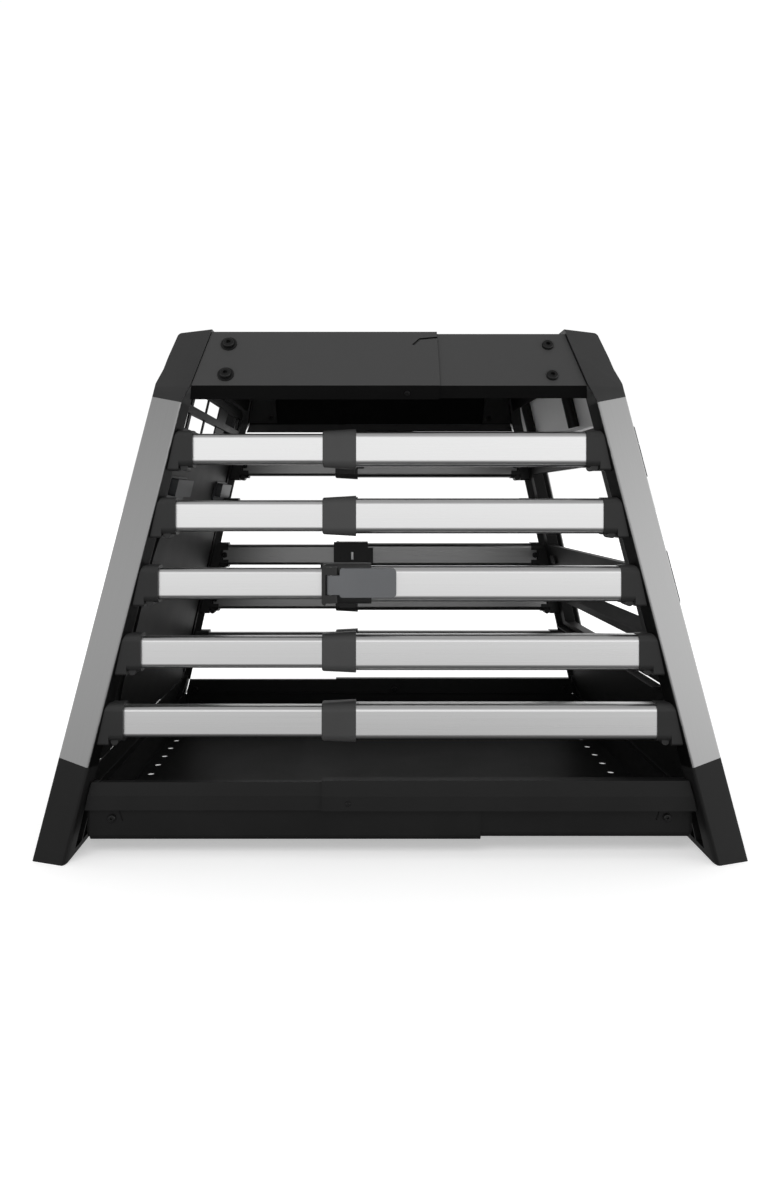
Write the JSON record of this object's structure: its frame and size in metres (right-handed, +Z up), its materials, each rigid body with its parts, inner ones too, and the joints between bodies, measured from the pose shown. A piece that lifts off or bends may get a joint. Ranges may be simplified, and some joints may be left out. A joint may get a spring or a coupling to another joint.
{
  "type": "dog crate",
  "caption": "Telescopic metal dog crate for a car boot: sloping ends, rounded side bars, folded black roof and floor trays, end door, escape hatch and side lock levers.",
  "frame": {"origin": "centre of the footprint on the floor, under the middle of the crate at the drawn length", "axes": "+Z up, +X along the crate towards the rear door, -Y the side drawn as the near (left) side"},
  "size_m": [0.849, 0.578, 0.645],
  "materials": {
    "bar_aluminium": "fine brushed, clear anodised",
    "post_aluminium": "satin anodised",
    "black_plastic": "fine textured",
    "black_steel": "textured powder coat",
    "roof_steel": "textured powder coat",
    "grey_plastic": "satin",
    "black_screw": "black oxide, satin",
    "steel": "plain turned"
  },
  "bodies": {
    "rear_half": {"door_hinge_blocks": "black_plastic", "door_hinge_pins": "steel", "foot_rear_left": "black_plastic", "foot_rear_right": "black_plastic", "header_rail": "post_aluminium", "header_uprights": "black_steel", "kick_panel": "black_steel", "lock_housings": "black_plastic", "lock_pins": "steel", "outer_tube_left_1": "bar_aluminium", "outer_tube_left_2": "bar_aluminium", "outer_tube_left_3": "bar_aluminium", "outer_tube_left_4": "bar_aluminium", "outer_tube_left_5": "bar_aluminium", "outer_tube_right_1": "bar_aluminium", "outer_tube_right_2": "bar_aluminium", "outer_tube_right_3": "bar_aluminium", "outer_tube_right_4": "bar_aluminium", "outer_tube_right_5": "bar_aluminium", "post_rear_left": "post_aluminium", "post_rear_right": "post_aluminium", "roof_rear": "roof_steel", "screws_rear": "black_screw", "side_beams_rear": "black_steel", "top_cap_rear_left": "black_plastic", "top_cap_rear_right": "black_plastic", "tray_rear": "black_steel", "tube_brackets_rear": "black_plastic", "tube_collars": "black_plastic"},
    "front_half": {"foot_front_left": "black_plastic", "foot_front_right": "black_plastic", "front_panel": "black_steel", "hatch_hinge_rod": "steel", "inner_tube_left_1": "bar_aluminium", "inner_tube_left_2": "bar_aluminium", "inner_tube_left_3": "bar_aluminium", "inner_tube_left_4": "bar_aluminium", "inner_tube_left_5": "bar_aluminium", "inner_tube_right_1": "bar_aluminium", "inner_tube_right_2": "bar_aluminium", "inner_tube_right_3": "bar_aluminium", "inner_tube_right_4": "bar_aluminium", "inner_tube_right_5": "bar_aluminium", "post_front_left": "post_aluminium", "post_front_right": "post_aluminium", "roof_front": "roof_steel", "screws_front": "black_screw", "side_beams_front": "black_steel", "top_cap_front_left": "black_plastic", "top_cap_front_right": "black_plastic", "tray_front": "black_steel", "tube_brackets_front": "black_plastic"},
    "lever_left": {"lock_lever_left": "grey_plastic"},
    "lever_right": {"lock_lever_right": "grey_plastic"},
    "door": {"door_panel": "black_steel"},
    "door_handle": {"door_handle": "black_plastic"},
    "hatch": {"hatch_latch_bases": "black_plastic", "hatch_panel": "black_steel"},
    "latch_left": {"hatch_latch_left": "grey_plastic"},
    "latch_right": {"hatch_latch_right": "grey_plastic"}
  },
  "joints": [
    {"name": "telescope", "type": "slide", "parent": "rear_half", "child": "front_half", "axis": [1, 0, 0], "range_m": [-0.09, 0.12]},
    {"name": "lever_left_pivot", "type": "hinge", "parent": "rear_half", "child": "lever_left", "pos_m": [-0.071, -0.26777, 0.3262], "axis": [0, 0, -1], "range_deg": [0, 100]},
    {"name": "lever_right_pivot", "type": "hinge", "parent": "rear_half", "child": "lever_right", "pos_m": [-0.071, 0.26777, 0.3262], "axis": [0, 0, 1], "range_deg": [0, 100]},
    {"name": "door_hinge", "type": "hinge", "parent": "rear_half", "child": "door", "pos_m": [0.427, -0.258, 0], "axis": [0.23, -0.068, -0.9708], "range_deg": [0, 105]},
    {"name": "door_handle_turn", "type": "hinge", "parent": "door", "child": "door_handle", "pos_m": [0.31901, 0.178, 0.325], "axis": [0.9731, 0, 0.2305], "range_deg": [0, 90]},
    {"name": "hatch_hinge", "type": "hinge", "parent": "front_half", "child": "hatch", "pos_m": [-0.37342, 0, 0.099], "axis": [0, -1, 0], "range_deg": [0, 90]},
    {"name": "hatch_latch_left_turn", "type": "hinge", "parent": "hatch", "child": "latch_left", "pos_m": [-0.28234, -0.159, 0.446], "axis": [-0.9731, 0, 0.2305], "range_deg": [0, 90]},
    {"name": "hatch_latch_right_turn", "type": "hinge", "parent": "hatch", "child": "latch_right", "pos_m": [-0.28234, 0.159, 0.446], "axis": [-0.9731, 0, 0.2305], "range_deg": [0, 90]}
  ]
}
